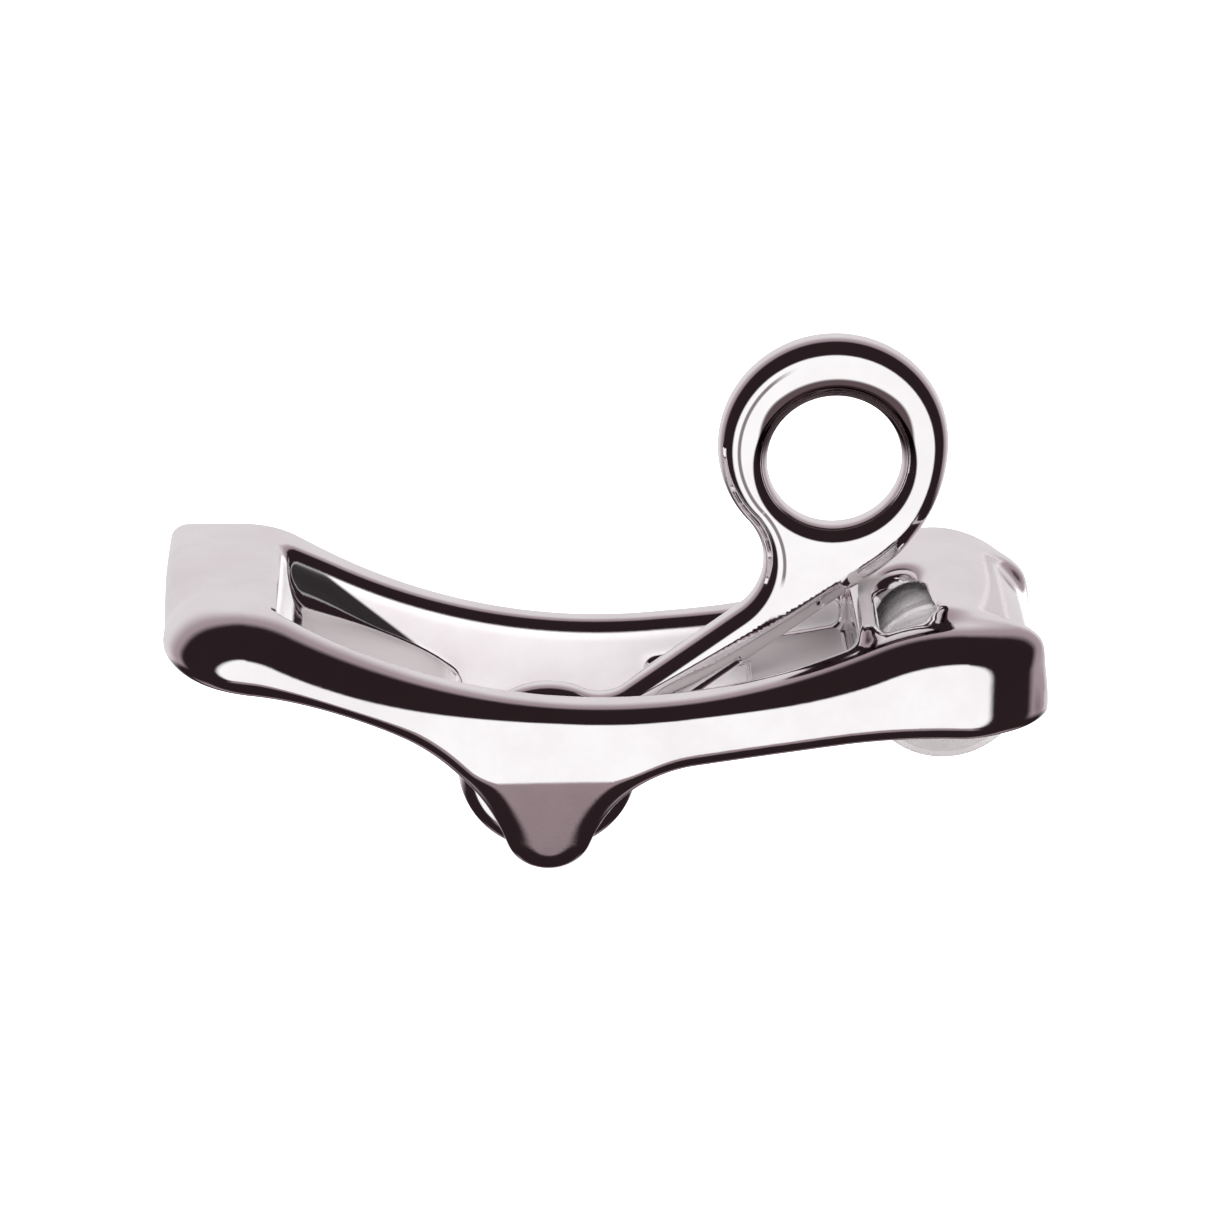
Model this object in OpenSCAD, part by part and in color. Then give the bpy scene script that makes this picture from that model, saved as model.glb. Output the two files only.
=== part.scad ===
// Ring-lever line clamp: a cast cradle with two curved cheeks, a ring lever on a cross pin
// and a guide roller. Millimetres. +X runs along the cradle, +Z is up. The origin is at
// mid-length, mid-width, level with the lowest point of the lever's hub.

/* [Frame] */
// half of the cradle's overall length
half_len = 56; // [55:0.5:57]
// thickness of each cheek at mid-length
cheek_t = 7; // [6:0.5:8]
// plan radius of the cheeks' outer faces, which flare towards the ends
flare_r = 480; // [420:20:800]
// clear width of the channel between the cheeks
gap = 20; // [19.5:0.5:22]
// radius of the sagging top edge of the cheeks
sag_r = 78; // [76:1:82]
// height of the top edge at its lowest point, over the hub
sag_z = 25.8; // [25.2:0.2:26.4]
// height of the left end block
left_top = 38.4; // [37.8:0.1:38.8]
// height of the cheeks at the right end
right_top = 35.9; // [35.6:0.1:36.4]
// height of the hood over the roller
hood_z = 38.1; // [37.8:0.1:38.2]
// inner face of the left end block
block_x = -41; // [-42:0.5:-39]
// thickness of the ramp floor on the left
web_t = 3; // [2.5:0.25:3.5]
// inner end of the left ramp floor, clear of the hub disc
floor_x = -18.6; // [-22:0.2:-18.6]

/* [Lever] */
// thickness of the arm, the ring and the hub disc
lever_t = 6; // [5:0.5:7]
// width of the arm
arm_w = 6.6; // [6:0.2:7]
// angle of the arm above the horizontal, in degrees
arm_a = 36; // [35.5:0.25:37]
// outer radius of the ring
ring_r = 14.6; // [14.2:0.1:15]
// radius of the ring's hole, which sits a little below the ring's own centre
eye_r = 8.5; // [8:0.1:9]
// radius of the hub disc
hub_r = 11.6; // [11.2:0.1:11.8]
// radius of the hub barrel
barrel_r = 5.4; // [5:0.1:5.8]

/* [Pivot] */
// radius of the lever's cross pin
pivot_r = 2.5; // [2:0.25:2.75]
// outer radius of the pressed-in hub bushes
hub_bush_r = 3.7; // [3.4:0.1:4]
// length of each hub bush
hub_bush_len = 7; // [5:0.5:8]

/* [Roller] */
// radius of the guide roller
roller_r = 10.3; // [9.6:0.1:10.3]
// depth of the groove in the roller
groove = 0.9; // [0.5:0.1:1.2]
// radius of the roller's cross pin
roller_pin_r = 2; // [1.75:0.25:2.25]
// outer radius of the roller's bush
roller_bush_r = 3.4; // [3:0.1:3.8]

/* [Fits] */
// thickness of every side washer
washer_t = 0.8; // [0.6:0.1:1]
// radial running clearance of every shaft
run = 0.06; // [0.03:0.01:0.09]
// end float on each side of the lever and of the roller
float_y = 0.15; // [0.1:0.05:0.3]

/* [Hidden] */
$fn = 64;
wall_y = gap / 2;
waist = wall_y + cheek_t;
wide = 24;
pivot = [-7.4, 11.6];
wheel = [43, 25.5];
lobe = [-7.4, 7.1];
lobe_r = 5.8;
end_r = 6;
barrel_y = wall_y - washer_t - float_y;
eye = [29, 53.1];
ring = [28.8, 55];

// points along an arc, from angle a0 to angle a1, in n steps
function arc(c, r, a0, a1, n) =
    [for (i = [0 : n]) c + r * [cos(a0 + (a1 - a0) * i / n), sin(a0 + (a1 - a0) * i / n)]];

// unit vector at angle a
function ray(a) = [cos(a), sin(a)];

// angle of a vector
function heading(v) = atan2(v[1], v[0]);

// top edge: the sag arc meets a reversed arc that levels out at height z, x_flat from the middle
function turn(z, x_flat) = 2 * atan((z - sag_z) / x_flat);
function back_r(z, x_flat) = x_flat / sin(turn(z, x_flat)) - sag_r;
left_flat = 47;
right_flat = 45;
tl = turn(left_top, left_flat);
tr = turn(right_top, right_flat);
sag_c = [0, sag_z + sag_r];

// left underside: a wide arc, then a tighter one that runs into the lobe
wide_r = 60;
wide_c = [-53.3, -31.75];
wide_a0 = 84;
wide_a1 = 63;
wide_end = wide_c + wide_r * ray(wide_a1);
to_lobe = wide_end - lobe;
left_fillet = (to_lobe * to_lobe - lobe_r * lobe_r) / (2 * (lobe_r + to_lobe * ray(wide_a1)));
left_c = wide_end - left_fillet * ray(wide_a1);

// right underside: a fillet out of the lobe, a straight rise, then level
rise_a = 9.2;
rise_p = [11, 17.15];
to_low = rise_p - lobe;
right_fillet = (to_low * to_low - lobe_r * lobe_r) / (2 * (lobe_r - to_low * ray(rise_a - 90)));
right_c = rise_p + right_fillet * ray(rise_a - 90);
level_r = 94;
level_p = [29, 20.05];
level_c = level_p + level_r * ray(rise_a - 90);
right_low = level_c[1] + level_r;

// outline of a cheek, clockwise from the left end
cheek_pts = concat(
    arc([-half_len + end_r, 34.05], end_r, 262, 180, 8),
    arc([-half_len + 3.4, left_top - 3.4], 3.4, 180, 90, 6),
    arc([-left_flat, left_top - back_r(left_top, left_flat)],
        back_r(left_top, left_flat), 90, 90 - tl, 8),
    arc(sag_c, sag_r, 270 - tl, 270 + tr, 22),
    arc([right_flat, right_top - back_r(right_top, right_flat)],
        back_r(right_top, right_flat), 90 + tr, 90, 6),
    arc([half_len - 7, right_top - 7], 7, 90, 0, 8),
    arc([half_len - 4.6, right_low + 4.6], 4.6, 0, -90, 7),
    arc(level_c, level_r, 90, 90 + rise_a, 4),
    arc(right_c, right_fillet, 90 + rise_a, heading(lobe - right_c), 8),
    arc(lobe, lobe_r, heading(right_c - lobe), heading(left_c - lobe), 14),
    arc(left_c, left_fillet, heading(lobe - left_c), wide_a1, 7),
    arc(wide_c, wide_r, wide_a1, wide_a0, 6)
);

module along_y(len) {
    rotate([90, 0, 0]) linear_extrude(len, center = true) children();
}

module cheek_2d() {
    polygon(cheek_pts);
}

// a straight round bar along Y at point p
module bar(p, r, len) {
    translate([p[0], 0, p[1]]) rotate([90, 0, 0]) cylinder(h = len, r = r, center = true);
}

// outline seen from above: narrow at mid-length, wider at both ends
module plan_2d() {
    a = asin((half_len + 1) / flare_r);
    polygon(concat(
        arc([0, waist + flare_r], flare_r, 270 - a, 270 + a, 14),
        arc([0, -waist - flare_r], flare_r, 90 - a, 90 + a, 14)));
}

// half of the cradle's depth at distance x from the middle
function half_depth(x) = waist + flare_r - sqrt(flare_r * flare_r - x * x);

// the ramp floors are the strip between the cheeks' underside and a line above it
module left_floor_2d() {
    intersection() {
        cheek_2d();
        difference() {
            translate([floor_x - 40, 10]) square([40, 24]);
            translate([0, web_t]) polygon(concat(
                arc(wide_c, wide_r, wide_a0, wide_a1, 6),
                arc(left_c, left_fillet, wide_a1, 40, 4),
                [[-10, 60], [-60, 60]]));
        }
    }
}

module right_floor_2d() {
    intersection() {
        cheek_2d();
        polygon([[6, 10], [6, 20.9], [10, 22.5], [25, 25.2], [33, 26.1], [33, 10]]);
    }
}

// crowned end block on the right, lower than the arm that rests over it
module hood_2d() {
    intersection() {
        polygon(concat(
            [[31.5, 20]],
            arc([42.5, hood_z - 22], 22, 120, 90, 6),
            arc([42.5, hood_z - 15], 15, 90, 26, 10),
            [[half_len, 20]]));
        union() {
            cheek_2d();
            translate([31.5, 33]) square([20.6, 7]);
        }
    }
}

module frame() {
    color([0.8, 0.78, 0.79]) difference() {
        intersection() {
            linear_extrude(50) plan_2d();
            union() {
                for (s = [-1, 1]) {
                    translate([0, s * (wall_y + wide / 2), 0]) along_y(wide) cheek_2d();
                }
                along_y(gap) intersection() {
                    cheek_2d();
                    translate([-half_len - 1, 20]) square([half_len + 1 + block_x, 30]);
                }
                along_y(gap) left_floor_2d();
                along_y(gap) right_floor_2d();
                // the hood reaches over the rear cheek and stops at the front one
                translate([0, wide / 2, 0]) along_y(gap + wide) hood_2d();
            }
        }
        // pocket for the roller, open below
        bar(wheel, roller_r + 0.5, gap);
        // arched window in the hood's top
        translate([37.9, 0.6, 30]) cylinder(h = 12, r = 3.9);
        translate([34, -wall_y, 30]) cube([7.8, wall_y + 0.6, 12]);
        // notch in the right floor that lets the arm down
        translate([5, -lever_t / 2 - 0.9, 10]) cube([13.5, lever_t + 1.8, 20]);
        bar(pivot, pivot_r, 4 * wide);
        bar(wheel, roller_pin_r, 4 * wide);
    }
}

// the arm's upper edge runs into the ring through a fillet, its lower edge through a wide arc
arm_u = ray(arm_a);
arm_n = ray(arm_a + 90);
arm_top = pivot + arm_w / 2 * arm_n;
neck_r = 8;
ring_h = (ring - pivot) * arm_n - arm_w / 2;
neck_h = neck_r;
neck_s = (ring - pivot) * arm_u
    - sqrt((ring_r + neck_r) * (ring_r + neck_r) - (ring_h - neck_h) * (ring_h - neck_h));
neck_c = arm_top + neck_s * arm_u + neck_h * arm_n;
// wide arc through the ring's right side, tangent to the arm's lower edge
back_h = (ring + [ring_r, 0] - pivot) * arm_n + arm_w / 2;
jaw_r = back_h / (1 + ray(0) * arm_n);
jaw_c = ring + [ring_r - jaw_r, 0];
jaw_foot = jaw_c - jaw_r * arm_n;

// concave fillet between the hub disc and the arm's upper edge
hub_fillet = 5;
hub_fillet_h = arm_w / 2 + hub_fillet;
hub_fillet_s = sqrt((hub_r + hub_fillet) * (hub_r + hub_fillet) - hub_fillet_h * hub_fillet_h);
hub_fillet_c = pivot + hub_fillet_s * arm_u + hub_fillet_h * arm_n;
hub_a0 = heading(hub_fillet_c - pivot) + 5;
hub_a1 = arm_a - asin(arm_w / 2 / hub_r) + 360;

// outline of the lever, counter-clockwise from the arm's lower edge
lever_pts = concat(
    arc(jaw_c, jaw_r, heading(jaw_foot - jaw_c), 0, 10),
    arc(ring, ring_r, 5, heading(neck_c - ring) + 355, 38),
    arc(neck_c, neck_r, heading(ring - neck_c), arm_a - 90, 9),
    arc(hub_fillet_c, hub_fillet, arm_a - 90, heading(pivot - hub_fillet_c), 7),
    arc(pivot, hub_r, hub_a0, hub_a1, 52));

module lever_2d() {
    difference() {
        polygon(lever_pts);
        circle_at(eye, eye_r);
    }
}

module circle_at(p, r) {
    translate(p) circle(r);
}

module ring_lever() {
    color([0.82, 0.8, 0.81]) difference() {
        union() {
            along_y(lever_t) lever_2d();
            bar(pivot, barrel_r, 2 * barrel_y);
        }
        bar(pivot, pivot_r + run + 0.2, 2 * wall_y);
        for (s = [-1, 1]) {
            translate([pivot[0], s * (barrel_y - hub_bush_len / 2), pivot[1]])
                rotate([90, 0, 0]) cylinder(h = hub_bush_len + 0.001, r = hub_bush_r, center = true);
        }
    }
}

// a ring along Y: inner radius ri, outer radius ro, from y0 to y1
module tube_y(p, ri, ro, y0, y1) {
    translate([p[0], y1, p[1]]) rotate([90, 0, 0]) difference() {
        cylinder(h = y1 - y0, r = ro);
        translate([0, 0, -1]) cylinder(h = y1 - y0 + 2, r = ri);
    }
}

// pin whose ends are chamfered by c
module pin_y(p, r, len, c) {
    translate([p[0], len / 2, p[1]]) rotate([90, 0, 0]) rotate_extrude()
        polygon([[0, 0], [r - c, 0], [r, c], [r, len - c], [r - c, len], [0, len]]);
}

module pivot_pin() {
    color([0.74, 0.72, 0.72]) pin_y(pivot, pivot_r, 2 * half_depth(pivot[0]) - 0.1, 0.3);
}

module hub_bush_front() {
    color([0.78, 0.6, 0.3]) tube_y(pivot, pivot_r + run, hub_bush_r,
        -barrel_y, -barrel_y + hub_bush_len);
}

module hub_bush_rear() {
    color([0.78, 0.6, 0.3]) tube_y(pivot, pivot_r + run, hub_bush_r,
        barrel_y - hub_bush_len, barrel_y);
}

module pivot_washer_front() {
    color([0.62, 0.6, 0.6]) tube_y(pivot, pivot_r, barrel_r, -wall_y, -wall_y + washer_t);
}

module pivot_washer_rear() {
    color([0.62, 0.6, 0.6]) tube_y(pivot, pivot_r, barrel_r, wall_y - washer_t, wall_y);
}

roller_y = wall_y - washer_t - float_y;

// roller with chamfered rims and a shallow groove for the line
module roller() {
    color([0.84, 0.82, 0.82]) translate([wheel[0], roller_y, wheel[1]]) rotate([90, 0, 0])
        rotate_extrude() polygon([
            [roller_bush_r, 0], [roller_r - 0.8, 0], [roller_r, 0.8], [roller_r, 2.6],
            [roller_r - groove, roller_y - 2.2], [roller_r - groove, roller_y + 2.2],
            [roller_r, 2 * roller_y - 2.6], [roller_r, 2 * roller_y - 0.8],
            [roller_r - 0.8, 2 * roller_y], [roller_bush_r, 2 * roller_y]]);
}

module roller_bush() {
    color([0.78, 0.6, 0.3]) tube_y(wheel, roller_pin_r + run, roller_bush_r,
        -roller_y, roller_y);
}

module roller_pin() {
    color([0.74, 0.72, 0.72]) pin_y(wheel, roller_pin_r, 2 * half_depth(wheel[0]) - 0.4, 0.3);
}

module roller_washer_front() {
    color([0.62, 0.6, 0.6]) tube_y(wheel, roller_pin_r, 5.2, -wall_y, -wall_y + washer_t);
}

module roller_washer_rear() {
    color([0.62, 0.6, 0.6]) tube_y(wheel, roller_pin_r, 5.2, wall_y - washer_t, wall_y);
}

frame();
ring_lever();
pivot_pin();
hub_bush_front();
hub_bush_rear();
pivot_washer_front();
pivot_washer_rear();
roller();
roller_bush();
roller_pin();
roller_washer_front();
roller_washer_rear();
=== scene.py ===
"""Ring-lever line clamp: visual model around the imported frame."""
import math

import bpy
import numpy as np
from mathutils import Matrix, Vector


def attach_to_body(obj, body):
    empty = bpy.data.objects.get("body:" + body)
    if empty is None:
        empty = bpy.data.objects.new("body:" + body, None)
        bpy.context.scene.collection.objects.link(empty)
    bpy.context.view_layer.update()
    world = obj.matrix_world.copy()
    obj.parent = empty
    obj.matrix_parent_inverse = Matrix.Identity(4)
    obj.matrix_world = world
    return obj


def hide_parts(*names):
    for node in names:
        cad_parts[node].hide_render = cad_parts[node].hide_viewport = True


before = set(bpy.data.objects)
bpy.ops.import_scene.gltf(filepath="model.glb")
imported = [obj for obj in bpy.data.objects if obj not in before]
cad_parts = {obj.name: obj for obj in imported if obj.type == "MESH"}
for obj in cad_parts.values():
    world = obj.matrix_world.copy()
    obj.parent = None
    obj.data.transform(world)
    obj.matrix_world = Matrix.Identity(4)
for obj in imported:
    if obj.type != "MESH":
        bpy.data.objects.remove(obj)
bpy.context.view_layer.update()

MM = 0.001

# ---------------------------------------------------------------- measures
# Lengths are in millimetres, points are (x, z), angles are in degrees.
# centres: the lever's pivot, the roller, the lobe, the ring's eye and the ring
PIVOT, WHEEL, LOBE, EYE, RING = (np.array(p) for p in
                                 ([-7.4, 11.6], [43.0, 25.5], [-7.4, 7.1], [29.0, 53.1],
                                  [28.8, 55.0]))
# cradle: half length, half gap between the cheeks, cheek thickness, radius of the flared plan
HALF_LEN, WALL_Y, CHEEK_T, FLARE_R = 56.0, 10.0, 7.0, 480.0
# lobe: its radius, and how far it leans inwards per millimetre below a height
LOBE_R, LEAN, LEAN_Z = 5.8, 0.27, 16.6
# cheek top: lowest point and its radius, then height and half length of each level end
SAG_Z, SAG_R = 25.8, 78.0
LEFT_TOP, LEFT_FLAT, RIGHT_TOP, RIGHT_FLAT = 38.4, 47.0, 35.9, 45.0
# cheek underside: a wide arc on the left, a straight rise and a level arc on the right
WIDE_R, WIDE_C, WIDE_A0, WIDE_A1 = 60.0, np.array([-53.3, -31.75]), 84, 63
RISE_A, RISE_P = 9.2, np.array([11, 17.15])
LEVEL_R, LEVEL_P = 94.0, np.array([29, 20.05])
# inner face of the left block; left floor: thickness and right end
BLOCK_X, WEB_T, LEFT_FLOOR_X = -41.0, 3.0, -18.6
# right floor: both ends, a point of its top and the normal there, and the arm's notch
RIGHT_FLOOR_X0, RIGHT_FLOOR_X1, NOTCH_X, NOTCH_GAP = 6.0, 33.0, 18.5, 0.9
RAMP_P, RAMP_N = (10.0, 22.5), (-0.177, 0.984)
# hood: left end, crest, height, radius of its crown on both sides of the crest, and mouth
HOOD_X, CREST_X, HOOD_Z, CROWN_LEFT, CROWN_RIGHT = 31.5, 42.5, 38.1, 22.0, 13.0
MOUTH_X, MOUTH_Y, MOUTH_R = 37.4, -2.0, 2.9
# lever: hub, its barrel and bore; ring, eye, and the fillets at the neck and the hub; arm
HUB_R, BARREL_R, BARREL_Y, BORE_R = 11.6, 5.4, 9.05, 3.7
RING_R, EYE_R, NECK_R, HUB_FILLET_UP, HUB_FILLET_LOW = 14.6, 8.5, 8.0, 5.0, 3.5
ARM_W, ARM_A, LEVER_T, LEVER_EDGE = 6.6, 36.0, 6.0, 2.95
# roller: rim, groove, half width and bore, and how much larger its pocket is
ROLLER_R, WAIST_R, ROLLER_Y, ROLLER_BORE, POCKET_GAP = 10.3, 9.4, 9.05, 3.4, 0.5
# size of the meshing grid, and where open chains end
VOXEL, BEYOND = 0.5, 90.0


# ---------------------------------------------------------------- outlines
def ray(a):
    """The unit vector at angle a."""
    return np.array([math.cos(math.radians(a)), math.sin(math.radians(a))])


def heading(v):
    """The angle of vector v."""
    return math.degrees(math.atan2(v[1], v[0]))


class Outline:
    """A chain of arcs and lines with its exact signed distance, negative on its right."""

    def __init__(self):
        self.parts, self.start, self.pen = [], None, None

    def arc(self, c, r, a0, a1):
        """An arc from angle a0 to a1, after a line from the pen to its start."""
        c = np.array(c, float)
        p0 = c + r * ray(a0)
        if self.pen is None:
            self.start = p0
        else:
            self.line(p0)
        self.parts.append(("arc", c, r, a0, a1))
        self.pen = c + r * ray(a1)

    def line(self, p):
        p = np.array(p, float)
        if self.pen is None:
            self.start = p
        elif np.linalg.norm(p - self.pen) > 1e-3:
            self.parts.append(("line", self.pen, p))
        self.pen = p

    def dist(self, x, z, only=None):
        """Signed distance to the chain, or to those of its parts that only names."""
        shape = np.broadcast(x, z).shape
        best = np.full(shape, 1e9)
        sign = np.ones(shape)
        for i, part in enumerate(self.parts):
            if only is not None and i not in only:
                continue
            if part[0] == "arc":
                _, c, r, a0, a1 = part
                dx, dz = x - c[0], z - c[1]
                mid, half = math.radians((a0 + a1) / 2), math.radians(abs(a1 - a0) / 2)
                ang = np.arctan2(dz, dx) - mid
                ang = (ang + math.pi) % (2 * math.pi) - math.pi
                ang = np.clip(ang, -half, half) + mid
                qx, qz = np.cos(ang), np.sin(ang)
                out = 1.0 if a1 < a0 else -1.0
                ex, ez = dx - r * qx, dz - r * qz
                d = np.hypot(ex, ez)
                s = np.where((ex * qx + ez * qz) * out >= 0, 1.0, -1.0)
            else:
                _, p, q = part
                t = q - p
                n = np.linalg.norm(t)
                t = t / n
                dx, dz = x - p[0], z - p[1]
                u = np.clip(dx * t[0] + dz * t[1], 0, n)
                ex, ez = dx - u * t[0], dz - u * t[1]
                d = np.hypot(ex, ez)
                s = np.where(dx * -t[1] + dz * t[0] >= 0, 1.0, -1.0)
            near = d < best
            best = np.where(near, d, best)
            sign = np.where(near, s, sign)
        return best * sign


def cheek_outline():
    """The cheek's top edge and underside, open chains that run past both ends, and the
    parts of the underside that the left floor follows."""

    def turn(z, flat):
        return 2 * math.degrees(math.atan((z - SAG_Z) / flat))

    def back(z, flat):
        return flat / math.sin(math.radians(turn(z, flat))) - SAG_R

    left_turn, left_back = turn(LEFT_TOP, LEFT_FLAT), back(LEFT_TOP, LEFT_FLAT)
    right_turn, right_back = turn(RIGHT_TOP, RIGHT_FLAT), back(RIGHT_TOP, RIGHT_FLAT)
    top = Outline()
    top.line([-BEYOND, LEFT_TOP])
    top.arc([-LEFT_FLAT, LEFT_TOP - left_back], left_back, 90, 90 - left_turn)
    top.arc([0, SAG_Z + SAG_R], SAG_R, 270 - left_turn, 270 + right_turn)
    top.arc([RIGHT_FLAT, RIGHT_TOP - right_back], right_back, 90 + right_turn, 90)
    top.line([BEYOND, RIGHT_TOP])

    # fillets on both sides of the lobe, each tangent to it and to its neighbour
    to = WIDE_C + WIDE_R * ray(WIDE_A1) - LOBE
    left_r = (to @ to - LOBE_R ** 2) / (2 * (LOBE_R + to @ ray(WIDE_A1)))
    left_c = WIDE_C + (WIDE_R - left_r) * ray(WIDE_A1)
    to = RISE_P - LOBE
    right_r = (to @ to - LOBE_R ** 2) / (2 * (LOBE_R - to @ ray(RISE_A - 90)))
    right_c = RISE_P + right_r * ray(RISE_A - 90)
    level_c = LEVEL_P + LEVEL_R * ray(RISE_A - 90)
    under = Outline()
    under.line([BEYOND, level_c[1] + LEVEL_R])
    under.arc(level_c, LEVEL_R, 90, 90 + RISE_A)
    under.arc(right_c, right_r, 90 + RISE_A, heading(LOBE - right_c))
    under.arc(LOBE, LOBE_R, heading(right_c - LOBE), heading(left_c - LOBE))
    first = len(under.parts)
    under.arc(left_c, left_r, heading(LOBE - left_c), WIDE_A1)
    under.arc(WIDE_C, WIDE_R, WIDE_A1, WIDE_A0)
    under.line(under.pen + 50 * ray(WIDE_A0 + 90))
    return top, under, range(first, len(under.parts))


def lever_outline():
    """The lever's outline and the centre of the fillet between arm and ring."""
    u, n = ray(ARM_A), ray(ARM_A + 90)
    half = ARM_W / 2

    def flare(r, side):
        """Centre of a fillet of radius r between the hub and one edge of the arm."""
        h = half + r
        s = math.sqrt((HUB_R + r) ** 2 - h * h)
        return PIVOT + s * u + side * h * n

    up, low = flare(HUB_FILLET_UP, 1), flare(HUB_FILLET_LOW, -1)
    h = (RING - PIVOT) @ n - half - NECK_R
    s = (RING - PIVOT) @ u - math.sqrt((RING_R + NECK_R) ** 2 - h * h)
    neck = PIVOT + s * u + (half + NECK_R) * n
    back_h = (RING + [RING_R, 0] - PIVOT) @ n + half
    jaw_r = back_h / (1 + ray(0) @ n)
    jaw = RING + [RING_R - jaw_r, 0]
    o = Outline()
    o.arc(up, HUB_FILLET_UP, heading(PIVOT - up), ARM_A - 90)
    o.arc(neck, NECK_R, ARM_A - 90, heading(RING - neck))
    o.arc(RING, RING_R, heading(neck - RING) + 360, 0)
    o.arc(jaw, jaw_r, 0, ARM_A - 90)
    o.arc(low, HUB_FILLET_LOW, ARM_A + 90, heading(PIVOT - low) % 360)
    o.arc(PIVOT, HUB_R, heading(low - PIVOT), heading(up - PIVOT) - 360)
    o.line(o.start)
    return o, neck


# ---------------------------------------------------------------- distance fields
def smin(a, b, k):
    """Union blended over a width k."""
    h = np.clip(0.5 + 0.5 * (b - a) / k, 0, 1)
    return b + (a - b) * h - k * h * (1 - h)


def smax(a, b, k):
    """Intersection blended over a width k."""
    return -smin(-a, -b, k)


def rmax(a, b, r):
    """Intersection with its edge rounded to radius r."""
    a, b = a + r, b + r
    return np.minimum(np.maximum(a, b), 0) + np.hypot(np.maximum(a, 0), np.maximum(b, 0)) - r


def ease(v, lo, hi):
    """A smooth step from 0 at lo to 1 at hi."""
    t = np.clip((v - lo) / (hi - lo), 0, 1)
    return t * t * (3 - 2 * t)


TOP, UNDER, RAMP = cheek_outline()
LEVER, NECK = lever_outline()


def cheeks(x, y, z, side, lower, front):
    """Both cheeks and the left block, and the solid that holds the whole cradle."""
    # the rear cheek stands a little higher on the left and over the hub
    rise = (0.5 + 0.9 * ease(x, -46, -34)) * ease(-x, -30, -6)
    top = TOP.dist(x, z - rise * ease(y, 0, 12))
    # edges: the top ones grow towards both ends, most of all at the front
    left, right = ease(-x, 4, 42), ease(x, 10, 36)
    rear = 1.8 * ease(x, -44, -34) * ease(-x, -36, -26) + 2.8 * ease(x, 43, 52)
    edge = 2.6 + front * (1.3 + 3.9 * left + 2.6 * right) + (1 - front) * rear
    edge = edge - 1.0 * ease(x, 49, 56) * front
    shell = smax(rmax(top, side, edge), lower, 0.8)
    body = rmax(shell, WALL_Y - np.abs(y), 2.6)
    return smin(body, rmax(shell, x - BLOCK_X, 2.0), 1.5), shell


def left_floor(x, y, z, shell):
    """The left ramp floor, which runs a little way into the block and the cheeks."""
    d = smax(np.maximum(shell, -WEB_T - UNDER.dist(x, z, RAMP)), x - LEFT_FLOOR_X, 1.2)
    return np.maximum(np.maximum(d, BLOCK_X - 7 - x), np.abs(y) - WALL_Y - 1)


def right_floor(x, y, z, shell):
    """The right ramp floor, with the notch that the lever's arm lies in."""
    ramp = (x - RAMP_P[0]) * RAMP_N[0] + (z - RAMP_P[1]) * RAMP_N[1]
    d = smax(smax(np.maximum(shell, ramp), RIGHT_FLOOR_X0 - x, 1.2), x - RIGHT_FLOOR_X1, 0.5)
    notch = np.maximum(np.abs(y) - LEVER_T / 2 - NOTCH_GAP, x - NOTCH_X)
    return smax(np.maximum(d, np.abs(y) - WALL_Y - 1), -notch, 0.8)


def hood(x, y, z, half, under):
    """The hood over the roller: a long crown on the left, a short one on the right."""
    big = np.where(x < CREST_X, CROWN_LEFT, CROWN_RIGHT)
    over = z + 0.2 * np.logaddexp(0, -y / 2) - HOOD_Z + big  # it falls towards the front
    crown = np.hypot(x - CREST_X, np.maximum(over, 0)) - big
    d = smax(rmax(crown, HOOD_X - x, 1.2), under, 2.0)
    d = rmax(d, np.maximum(-y - WALL_Y - 2.4, y - half + 1.5), 2.4)
    # its arched mouth, towards the ring
    arch = np.hypot(x - MOUTH_X, np.maximum(y - MOUTH_Y, 0) * 0.8) - MOUTH_R
    return rmax(d, -np.maximum(arch, 30 - z), 2.8)


def frame_field(x, y, z):
    """Signed distance to the cast cradle."""
    front = ease(-y, -6, 6)
    under = UNDER.dist(x, z)
    # plan: faces flare towards the ends, lobes lean inwards, corners are rounded
    lean = LEAN * 0.5 * np.logaddexp(0, (LEAN_Z - z) / 0.5)
    half = WALL_Y + CHEEK_T + FLARE_R - np.sqrt(FLARE_R ** 2 - np.minimum(np.abs(x), 45) ** 2)
    corner = np.where(x > 0, 11.5 + 2.0 * front, 2.5 + 9.0 * front)
    cx = np.abs(x) - HALF_LEN - 0.3 - 0.7 * front * (x > 0) + corner
    cy = np.abs(y) + lean - half + corner
    side = np.where((cx > 0) & (cy > 0), np.hypot(cx, cy), np.maximum(cx, cy)) - corner
    lower = rmax(under, side, 3.6 + 1.2 * ease(-x, 30, 46) - 0.8 * ease(x, 49, 56))
    body, shell = cheeks(x, y, z, side, lower, front)
    # the left floor's fillet to the cheeks grows towards the block
    body = smin(body, left_floor(x, y, z, shell), 0.7 + 5.0 * ease(-x, 28, 43))
    body = np.maximum(smin(body, right_floor(x, y, z, shell), 1.6), shell)
    body = smin(body, hood(x, y, z, half, under), 2.0)
    body = np.maximum(body, np.where(x > 44, lower, -50))
    from_wheel = np.hypot(x - WHEEL[0], z - WHEEL[1])
    pocket = np.maximum(from_wheel - ROLLER_R - POCKET_GAP, np.abs(y) - WALL_Y)
    return smax(body, -pocket, 0.6)


def lever_field(x, y, z):
    """Signed distance to the ring lever."""
    d = np.maximum(LEVER.dist(x, z), EYE_R - np.hypot(x - EYE[0], z - EYE[1]))
    from_hub = np.hypot(x - PIVOT[0], z - PIVOT[1])
    body = rmax(d, np.abs(y) - LEVER_T / 2, LEVER_EDGE)
    barrel = rmax(from_hub - BARREL_R, np.abs(y) - BARREL_Y, 0.5)
    return smax(smin(body, barrel, 1.5), BORE_R - from_hub, 0.3)


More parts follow.
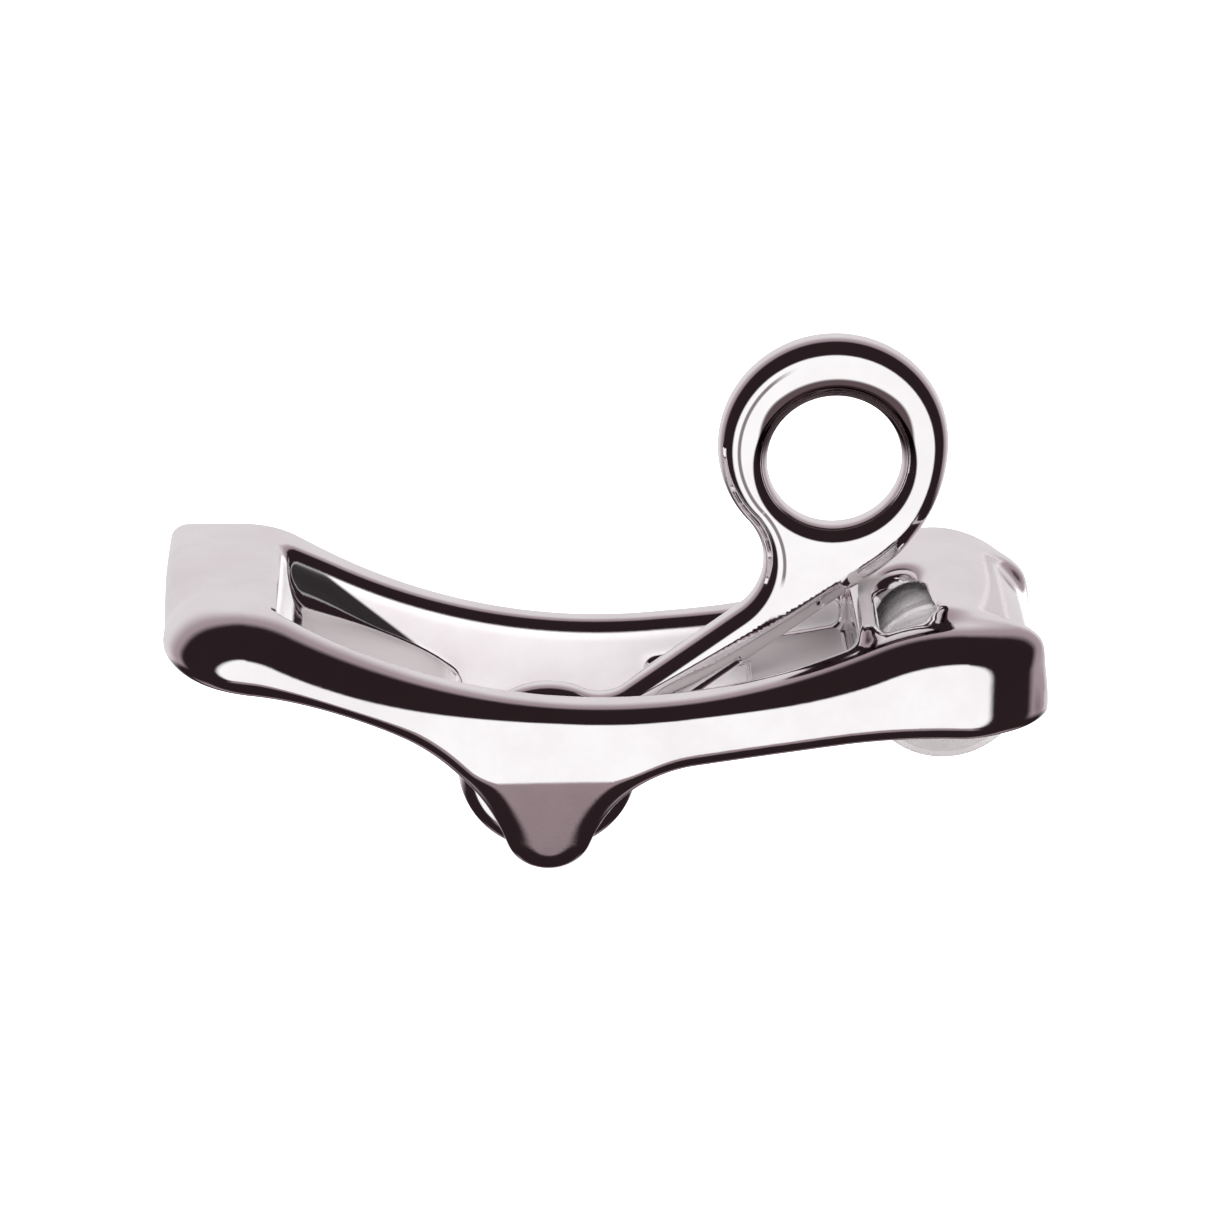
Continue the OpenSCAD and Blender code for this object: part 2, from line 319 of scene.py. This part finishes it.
# ---------------------------------------------------------------- meshing
def gradient(field, p, e=0.02):
    """Central differences of a field at the rows of p."""
    g = np.empty_like(p)
    for k in range(3):
        s = np.zeros(3)
        s[k] = e
        a, b = p + s, p - s
        g[:, k] = (field(*a.T) - field(*b.T)) / (2 * e)
    return g


def surface(field, lo, hi, h):
    """Quads on the zero level of a distance field, each vertex set exactly on it."""
    lo = np.array(lo, float) - h * np.array([0.31, 0.43, 0.37])
    n = np.ceil((np.array(hi) - lo) / h).astype(int) + 1
    ax = [lo[k] + h * np.arange(n[k]) for k in range(3)]
    f = field(ax[0][:, None, None], ax[1][None, :, None], ax[2][None, None, :])
    inside = f < 0
    cells = n - 1
    stride = np.array([cells[1] * cells[2], cells[2], 1])
    total, count, quads = np.zeros((int(np.prod(cells)), 3)), np.zeros(int(np.prod(cells))), []
    for k in range(3):
        a = tuple(slice(0, -1) if j == k else slice(None) for j in range(3))
        b = tuple(slice(1, None) if j == k else slice(None) for j in range(3))
        idx = np.argwhere(inside[a] != inside[b])
        f0, f1 = f[a][tuple(idx.T)], f[b][tuple(idx.T)]
        pos = lo + h * idx
        pos[:, k] += h * f0 / (f0 - f1)
        u, v = (k + 1) % 3, (k + 2) % 3
        ring = []
        for du, dv in ((-1, -1), (0, -1), (0, 0), (-1, 0)):
            c = idx.copy()
            c[:, u] += du
            c[:, v] += dv
            flat = c @ stride
            ring.append(flat)
            for j in range(3):
                total[:, j] += np.bincount(flat, pos[:, j], len(total))
            count += np.bincount(flat, minlength=len(count))
        ring = np.stack(ring, 1)
        back = f0 > 0
        ring[back] = ring[back][:, ::-1]
        quads.append(ring)
    used = np.flatnonzero(count)
    remap = np.full(len(count), -1)
    remap[used] = np.arange(len(used))
    p = total[used] / count[used][:, None]
    for _ in range(4):
        g = gradient(field, p)
        step = (field(*p.T) / np.maximum((g * g).sum(1), 0.2))[:, None] * g
        size = np.linalg.norm(step, axis=1, keepdims=True)
        p = p - step * np.minimum(1, 0.6 * h / np.maximum(size, 1e-9))
    g = gradient(field, p)
    g /= np.maximum(np.linalg.norm(g, axis=1, keepdims=True), 1e-9)
    return p, remap[np.concatenate(quads)], g


def add_mesh(name, verts, faces, material, normals=None):
    mesh = bpy.data.meshes.new(name)
    mesh.from_pydata((np.asarray(verts) * MM).tolist(), [], [list(map(int, f)) for f in faces])
    mesh.polygons.foreach_set("use_smooth", [True] * len(mesh.polygons))
    mesh.update()
    if normals is not None:
        mesh.normals_split_custom_set_from_vertices(np.asarray(normals).tolist())
    obj = bpy.data.objects.new(name, mesh)
    bpy.context.scene.collection.objects.link(obj)
    obj.data.materials.append(material)
    return obj


def revolve(name, profile, centre, material, steps=128):
    """A solid turned about an axis along Y; profile is a closed list of (radius, y)."""
    verts, faces = [], []
    m = len(profile)
    for i in range(steps):
        a = 2 * math.pi * i / steps
        verts += [(centre[0] + r * math.cos(a), y, centre[1] + r * math.sin(a)) for r, y in profile]
    for i in range(steps):
        for j in range(m):
            a, b = i * m + j, i * m + (j + 1) % m
            c, d = ((i + 1) % steps) * m + (j + 1) % m, ((i + 1) % steps) * m + j
            faces.append((a, b, c, d))
    return add_mesh(name, verts, faces, material)


def round_corner(p, q, s, r, n=6):
    """Points that replace corner q of the path p, q, s by an arc of radius r."""
    p, q, s = (np.array(v, float) for v in (p, q, s))
    u, v = (p - q) / np.linalg.norm(p - q), (s - q) / np.linalg.norm(s - q)
    half = math.acos(float(np.clip(u @ v, -1, 1))) / 2
    reach = r / math.tan(half)
    c = q + (u + v) / np.linalg.norm(u + v) * r / math.sin(half)
    a0, a1 = q + u * reach - c, q + v * reach - c
    t0, t1 = math.atan2(a0[1], a0[0]), math.atan2(a1[1], a1[0])
    turn = (t1 - t0 + math.pi) % (2 * math.pi) - math.pi
    return [tuple(c + r * np.array([math.cos(t0 + turn * i / n), math.sin(t0 + turn * i / n)]))
            for i in range(n + 1)]


def rounded(profile, radii):
    out = []
    for i, q in enumerate(profile):
        if radii[i] > 0:
            out += round_corner(profile[i - 1], q, profile[(i + 1) % len(profile)], radii[i])
        else:
            out.append(q)
    return out


# ---------------------------------------------------------------- materials
class Graph:
    """Adds nodes to a tree; numbers and colours are set on sockets, sockets are linked."""

    def __init__(self, tree):
        self.nodes, self.links = tree.nodes, tree.links

    def add(self, kind, **settings):
        node = self.nodes.new("ShaderNode" + kind)
        for key, value in settings.items():
            setattr(node, key, value)
        return node

    def put(self, value, socket):
        if isinstance(value, bpy.types.NodeSocket):
            self.links.new(value, socket)
        elif isinstance(value, tuple):
            socket.default_value = (*value, 1)
        else:
            socket.default_value = value

    def op(self, kind, *values):
        node = self.add("Math", operation=kind)
        for value, socket in zip(values, node.inputs):
            self.put(value, socket)
        return node.outputs[0]

    def product(self, first, *rest):
        for value in rest:
            first = self.op("MULTIPLY", first, value)
        return first

    def step(self, value, lo, hi):
        """A smooth step from 0 at lo to 1 at hi."""
        node = self.add("MapRange", interpolation_type="SMOOTHSTEP")
        self.put(lo, node.inputs["From Min"])
        self.put(hi, node.inputs["From Max"])
        self.put(value, node.inputs["Value"])
        return node.outputs["Result"]

    def scale(self, value, lo, hi, to_lo, to_hi):
        """A linear map from lo..hi to to_lo..to_hi."""
        node = self.add("MapRange")
        for name, v in (("From Min", lo), ("From Max", hi), ("To Min", to_lo), ("To Max", to_hi),
                        ("Value", value)):
            self.put(v, node.inputs[name])
        return node.outputs["Result"]

    def blend(self, fac, a, b):
        """Colours a and b mixed by fac."""
        node = self.add("Mix", data_type="RGBA")
        for value, k in ((fac, 0), (a, 6), (b, 7)):
            self.put(value, node.inputs[k])
        return node.outputs[2]

    def noise(self, coord, size, detail, rough=0.5):
        node = self.add("TexNoise")
        for name, v in (("Scale", size), ("Detail", detail), ("Roughness", rough),
                        ("Vector", coord)):
            self.put(v, node.inputs[name])
        return node.outputs["Fac"]

    def ramp(self, fac, *stops):
        node = self.add("ValToRGB")
        for element, (at, colour) in zip(node.color_ramp.elements, stops):
            element.position, element.color = at, (*colour, 1)
        self.put(fac, node.inputs["Fac"])
        return node.outputs["Color"]

    def bump(self, height, strength, distance, normal=None):
        node = self.add("Bump")
        self.put(strength, node.inputs["Strength"])
        self.put(distance, node.inputs["Distance"])
        self.put(height, node.inputs["Height"])
        if normal is not None:
            self.put(normal, node.inputs["Normal"])
        return node.outputs["Normal"]

    def split(self, vector):
        node = self.add("SeparateXYZ")
        self.put(vector, node.inputs[0])
        return node.outputs


# colours painted by position, all of them painted shade: on the channel's floors, in a corner, and
# on the ring's lip and crease
PAINTED_FLOOR_SHADE, PAINTED_CORNER_SHADE, PAINTED_LIP_AND_CREASE_SHADE = (0.35, 0.32, 0.325), (0.012, 0.008, 0.009), (0.10, 0.07, 0.075)
# top of the satin zone; the black painted shade in the corner lies left of CORNER_X and where
# x + CORNER_SLOPE * z is below CORNER_FOOT
SATIN_Z, CORNER_SLOPE, CORNER_FOOT, CORNER_X = 36.6, 1.2, 5.6, -22.0
# width of the painted shade on the ring's upper inner lip, how much wider it is at the top, and
# the distance of the painted shade along the crease from the lever's edge
LIP_W, LIP_MORE, CREASE = 1.75, 1.5, 2.6


def new_material(name):
    mat = bpy.data.materials.new(name)
    mat.use_nodes = True
    return mat, Graph(mat.node_tree), mat.node_tree.nodes["Principled BSDF"].inputs


def channel_masks(g, coord, normal):
    """Masks of the satin parts of the channel and roller pocket, of the floors in them, which get
    painted shade, and of the black painted shade in the corner beside the left floor."""
    x, y, z = g.split(coord)
    within = g.step(g.op("ABSOLUTE", y), (WALL_Y + 0.8) * MM, (WALL_Y + 0.1) * MM)
    past_block = g.step(x, (BLOCK_X - 1.4) * MM, (BLOCK_X - 0.2) * MM)
    low = g.step(z, SATIN_Z * MM, (SATIN_Z - 0.6) * MM)
    by_roller = g.step(x, (HOOD_X + 0.7) * MM, (HOOD_X + 0.1) * MM)
    zone = g.product(g.op("MAXIMUM", low, by_roller), past_block, within)
    # the fillets stay bright: only floors and walls are satin
    nx, ny, nz = g.split(normal)
    up, wall = g.step(nz, 0.74, 0.82), g.step(g.op("ABSOLUTE", ny), 0.86, 0.93)
    end = g.step(nx, 0.80, 0.88)
    flat = g.op("MAXIMUM", g.op("MAXIMUM", up, wall), end)
    # the painted shade in the corner is bounded by a line that falls to the right and meets the
    # floor
    line = g.op("MULTIPLY_ADD", z, CORNER_SLOPE, x)
    under_line = g.step(line, CORNER_FOOT * MM, (CORNER_FOOT - 0.7) * MM)
    by_floor = g.step(x, CORNER_X * MM, (CORNER_X - 2.5) * MM)
    corner = g.product(under_line, wall, by_floor)
    return g.product(zone, flat), g.product(zone, up), g.product(zone, corner)


def painted_lip_and_crease_shade_mask(g, coord):
    """1 where shade is painted: on the upper inner lip of the ring, a painted dark reflection, and
    on the crease beside its left edge.
    """
    x, y, z = g.split(coord)

    def away(c):
        dx, dz = (g.op("SUBTRACT", v, float(k * MM)) for v, k in ((x, c[0]), (z, c[1])))
        return dx, dz, g.op("SQRT", g.op("ADD", g.product(dx, dx), g.product(dz, dz)))

    def line(r, at):
        return g.step(g.op("ABSOLUTE", g.op("SUBTRACT", r, at * MM)), 0.00030, 0.00012)

    dx, dz, r = away(EYE)
    # the painted shade on the lip is widest at the top and fades out below the middle
    r = g.op("SUBTRACT", r, g.product(g.step(dz, 0.001, 0.009), LIP_MORE * MM))
    lip = g.step(r, (EYE_R + LIP_W) * MM, (EYE_R + LIP_W - 0.4) * MM)
    lip = g.product(lip, g.step(dz, -0.001, 0.003))
    # the painted shade of the crease follows the ring, then the neck
    dx, dz, from_ring = away(RING)
    from_neck = away(NECK)[2]
    u = (NECK - RING) / np.linalg.norm(NECK - RING)
    turn = g.op("SUBTRACT", g.product(dz, float(u[0])), g.product(dx, float(u[1])))
    on_ring = g.step(turn, 0.0002, -0.0002)
    on_neck = g.op("SUBTRACT", 1.0, on_ring)
    crease = g.product(line(from_ring, RING_R - CREASE), on_ring, g.step(dx, -0.0045, -0.0085))
    fold = g.product(line(from_neck, NECK_R + CREASE), on_neck, g.step(dz, -0.0185, -0.0165))
    return g.op("MAXIMUM", lip, g.product(g.op("MAXIMUM", crease, fold), 0.85))


def metal(name, tint, dark, lo, hi, wave=0.0, grain=0.0, turned=None, satin=None, lip=False,
          metallic=1.0):
    """Metal whose tint varies softly between dark and tint, and its roughness from lo to hi.
    wave and grain are the strengths of a coarse and a fine bump, turned the scale of the
    marks of turning, satin the roughness in the channel, where the floors and a corner also get
    painted shade; lip paints shade on the ring's upper inner lip and along its crease."""
    mat, g, bsdf = new_material(name)
    tex = g.add("TexCoord").outputs
    coord = tex["Object"]
    tone = g.ramp(g.noise(coord, 90, 4, 0.6), (0.3, dark), (0.62, tint))
    fine = g.noise(coord, 420, 5, 0.65)
    rough = g.scale(fine, 0.3, 0.75, lo, hi)
    if satin:
        mask, floors, corner = channel_masks(g, coord, tex["Normal"])
        # painted shade: the floors go grey and the corner beside the left floor goes black
        tone = g.blend(corner, g.blend(floors, tone, PAINTED_FLOOR_SHADE), PAINTED_CORNER_SHADE)
        metallic = g.scale(mask, 0.0, 1.0, 1.0, 0.08)
        mix = g.add("Mix")
        dull = g.op("MULTIPLY_ADD", fine, 0.2, satin - 0.1)
        for value, k in ((mask, 0), (rough, 2), (dull, 3)):
            g.put(value, mix.inputs[k])
        rough = mix.outputs[0]
    # painted shade on the ring's upper inner lip and along the crease beside its left edge
    if lip:
        tone = g.blend(painted_lip_and_crease_shade_mask(g, coord), tone, PAINTED_LIP_AND_CREASE_SHADE)
    normal = None
    for scale, detail, strength, depth in ((70, 1.5, wave, 0.0006), (2600, 4, grain, 0.00002)):
        if strength > 0:
            normal = g.bump(g.noise(coord, scale, detail), strength, depth, normal)
    if turned:
        rings = g.add("TexWave", bands_direction="Y")
        for key, value in (("Scale", turned), ("Distortion", 1.5), ("Vector", coord)):
            g.put(value, rings.inputs[key])
        normal = g.bump(rings.outputs["Fac"], 0.12, 0.00003, normal)
    g.put(tone, bsdf["Base Color"])
    g.put(metallic, bsdf["Metallic"])
    g.put(rough, bsdf["Roughness"])
    if normal is not None:
        g.put(normal, bsdf["Normal"])
    return mat


CHROME = metal("polished_casting", (0.93, 0.905, 0.915), (0.86, 0.82, 0.835), 0.035, 0.11,
               wave=0.10, grain=0.12, satin=0.40)
LEVER_MAT = metal("polished_lever", (0.94, 0.915, 0.925), (0.88, 0.845, 0.86), 0.03, 0.09,
                  wave=0.06, grain=0.10, lip=True)
ROLLER_MAT = metal("turned_roller", (0.66, 0.63, 0.635), (0.57, 0.54, 0.545), 0.22, 0.34,
                   turned=900, metallic=0.5)
STEEL = metal("ground_pin", (0.72, 0.70, 0.70), (0.60, 0.57, 0.58), 0.16, 0.3, grain=0.2,
              turned=1400)
BRONZE = metal("bearing_bronze", (0.74, 0.55, 0.30), (0.55, 0.38, 0.19), 0.2, 0.38, grain=0.3)
WASHER = metal("pressed_washer", (0.62, 0.60, 0.61), (0.48, 0.45, 0.46), 0.25, 0.42, grain=0.3)


# ---------------------------------------------------------------- pieces
def attach(obj, body, node):
    """The piece rides on a body and stands for a CAD node."""
    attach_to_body(obj, body)
    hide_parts(node)


def cast(name, field, lo, hi, material, body, node):
    verts, quads, normals = surface(field, lo, hi, VOXEL)
    attach(add_mesh(name, verts, quads, material, normals), body, node)


cast("cradle_casting", frame_field, (-57, -21.5, 0), (57, 21.5, 40.5), CHROME,
     "frame", "frame")
cast("ring_lever_casting", lever_field, (-20.2, -10.4, -1.4), (45.4, 10.4, 71), LEVER_MAT,
     "lever", "ring_lever")

# the pins stop just under the polished faces of the casting
for node, centre, r, end in (("pivot_pin", PIVOT, 2.5, 14.2), ("roller_pin", WHEEL, 2.0, 17.4)):
    profile = rounded([(0.05, -end), (r, -end), (r, end), (0.05, end)], [0, 0.4, 0.4, 0])
    pin = revolve(node + "_bar", profile, centre, STEEL, 64)
    attach(pin, "frame", node)

# one half of the roller's profile as (radius, y, bend radius); the other half mirrors it
half_profile = [(ROLLER_BORE, -ROLLER_Y, 0.3), (6.0, -ROLLER_Y, 1.0),
                (ROLLER_R - 0.9, -ROLLER_Y + 1.3, 0.3), (ROLLER_R, -ROLLER_Y + 1.5, 0.3),
                (ROLLER_R, -6.0, 1.0), (WAIST_R, -2.2, 2.0)]
full = half_profile + [(r, -y, bend) for r, y, bend in reversed(half_profile)]
profile = rounded([(r, y) for r, y, bend in full], [bend for r, y, bend in full])
attach(revolve("guide_roller", profile, WHEEL, ROLLER_MAT, 160), "roller", "roller")

for material, shown in ((BRONZE, ("hub_bush_front", "hub_bush_rear", "roller_bush")),
                        (WASHER, ("pivot_washer_front", "pivot_washer_rear",
                                  "roller_washer_front", "roller_washer_rear"))):
    for node in shown:
        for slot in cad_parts[node].material_slots:
            slot.material = material

# ---------------------------------------------------------------- room
# what the polished metal reflects
WHITE, LIGHT, PINK = (1.0, 1.0, 1.0), (0.72, 0.69, 0.70), (0.36, 0.29, 0.31)
DUSK, DARK = (0.30, 0.235, 0.25), (0.022, 0.013, 0.015)
# what lights the satin surfaces
FILL = (1.28, 1.27, 1.275)

world = bpy.data.worlds.new("studio")
bpy.context.scene.world = world
world.use_nodes = True
world.node_tree.nodes.clear()
g = Graph(world.node_tree)
dx, dy, dz = g.split(g.add("TexCoord").outputs["Generated"])
# a light backdrop behind with pink and dark below it
back = g.blend(g.step(dy, 0.05, 0.28), DARK, PINK)
back = g.blend(g.step(dy, 0.30, 0.75), back, LIGHT)
back = g.blend(g.step(dz, -0.42, -0.62), back, DARK)
# a round white screen in front and a little below
facing = g.op("MULTIPLY_ADD", dy, -0.956, g.op("MULTIPLY", dz, -0.292))
room = g.blend(g.step(facing, 0.70, 0.80), back, WHITE)
# a dusky strip straight below the front, then dark
dusk = g.blend(g.step(g.op("ABSOLUTE", dx), 0.30, 0.45), DUSK, DARK)
room = g.blend(g.step(dz, -0.68, -0.74), room, dusk)
room = g.blend(g.step(dz, -0.80, -0.86), room, DARK)
# the camera sees plain white, satin surfaces are lit by plain light
rays = g.add("LightPath").outputs
room = g.blend(rays["Is Camera Ray"], room, WHITE)
bg = g.add("Background")
g.put(g.blend(rays["Is Diffuse Ray"], room, FILL), bg.inputs["Color"])
g.put(1.05, bg.inputs["Strength"])
g.put(bg.outputs[0], g.add("OutputWorld").inputs[0])

floor_mat, g, bsdf = new_material("studio_floor")
for key, value in (("Base Color", (0.9, 0.9, 0.9)), ("Roughness", 0.9),
                   ("Emission Color", WHITE), ("Emission Strength", 0.75)):
    g.put(value, bsdf[key])
FLOOR_HALF, FLOOR_Z = 4000, -0.05
floor = add_mesh("floor", [(sx * FLOOR_HALF, sy * FLOOR_HALF, FLOOR_Z)
                           for sx, sy in ((-1, -1), (1, -1), (1, 1), (-1, 1))],
                 [(0, 1, 2, 3)], floor_mat)
floor.visible_glossy = False


def area(name, loc, target, size, power):
    """A round lamp at loc, aimed at target; both in metres."""
    light = bpy.data.lights.new(name, "AREA")
    light.shape = "DISK"
    light.size = size
    light.energy = power
    obj = bpy.data.objects.new(name, light)
    bpy.context.scene.collection.objects.link(obj)
    obj.location = loc
    aim = Vector(target) - Vector(loc)
    obj.rotation_euler = aim.to_track_quat("-Z", "Y").to_euler()
    obj.visible_glossy = False


area("key", (-0.25, -0.45, 0.75), (0, 0, 0.02), 0.5, 4.0)
area("fill", (0.5, 0.2, 0.6), (0, 0, 0.02), 0.5, 2.0)

# ---------------------------------------------------------------- camera
# azimuth and elevation that it looks from, distance, focal length and sensor width
AZ, EL, AWAY, LENS, SENSOR = math.radians(-1.5), math.radians(21.0), 641.5, 153.194, 36.0
# the lowest point of the front cheek's top edge, seen this far right of the view's middle and
# below it
AIM, TO_RIGHT, BELOW = np.array([0.0, -(WALL_Y + CHEEK_T), SAG_Z]), 0.6875, 13.5875
back_dir = np.array([math.sin(AZ) * math.cos(EL), -math.cos(AZ) * math.cos(EL), math.sin(EL)])
right_dir = np.cross(-back_dir, [0, 0, 1.0])
right_dir /= np.linalg.norm(right_dir)
up_dir = np.cross(right_dir, -back_dir)
eye_point = AIM + AWAY * back_dir - TO_RIGHT * right_dir + BELOW * up_dir
cam = bpy.data.cameras.new("camera")
cam.sensor_width = SENSOR
cam.lens = LENS
cam.clip_start, cam.clip_end = 0.01, 20
cam_obj = bpy.data.objects.new("camera", cam)
bpy.context.scene.collection.objects.link(cam_obj)
cam_obj.location = eye_point * MM
cam_obj.rotation_euler = Matrix(np.stack([right_dir, up_dir, back_dir], 1).tolist()).to_euler()
bpy.context.scene.camera = cam_obj
bpy.context.scene.view_settings.view_transform = "Standard"
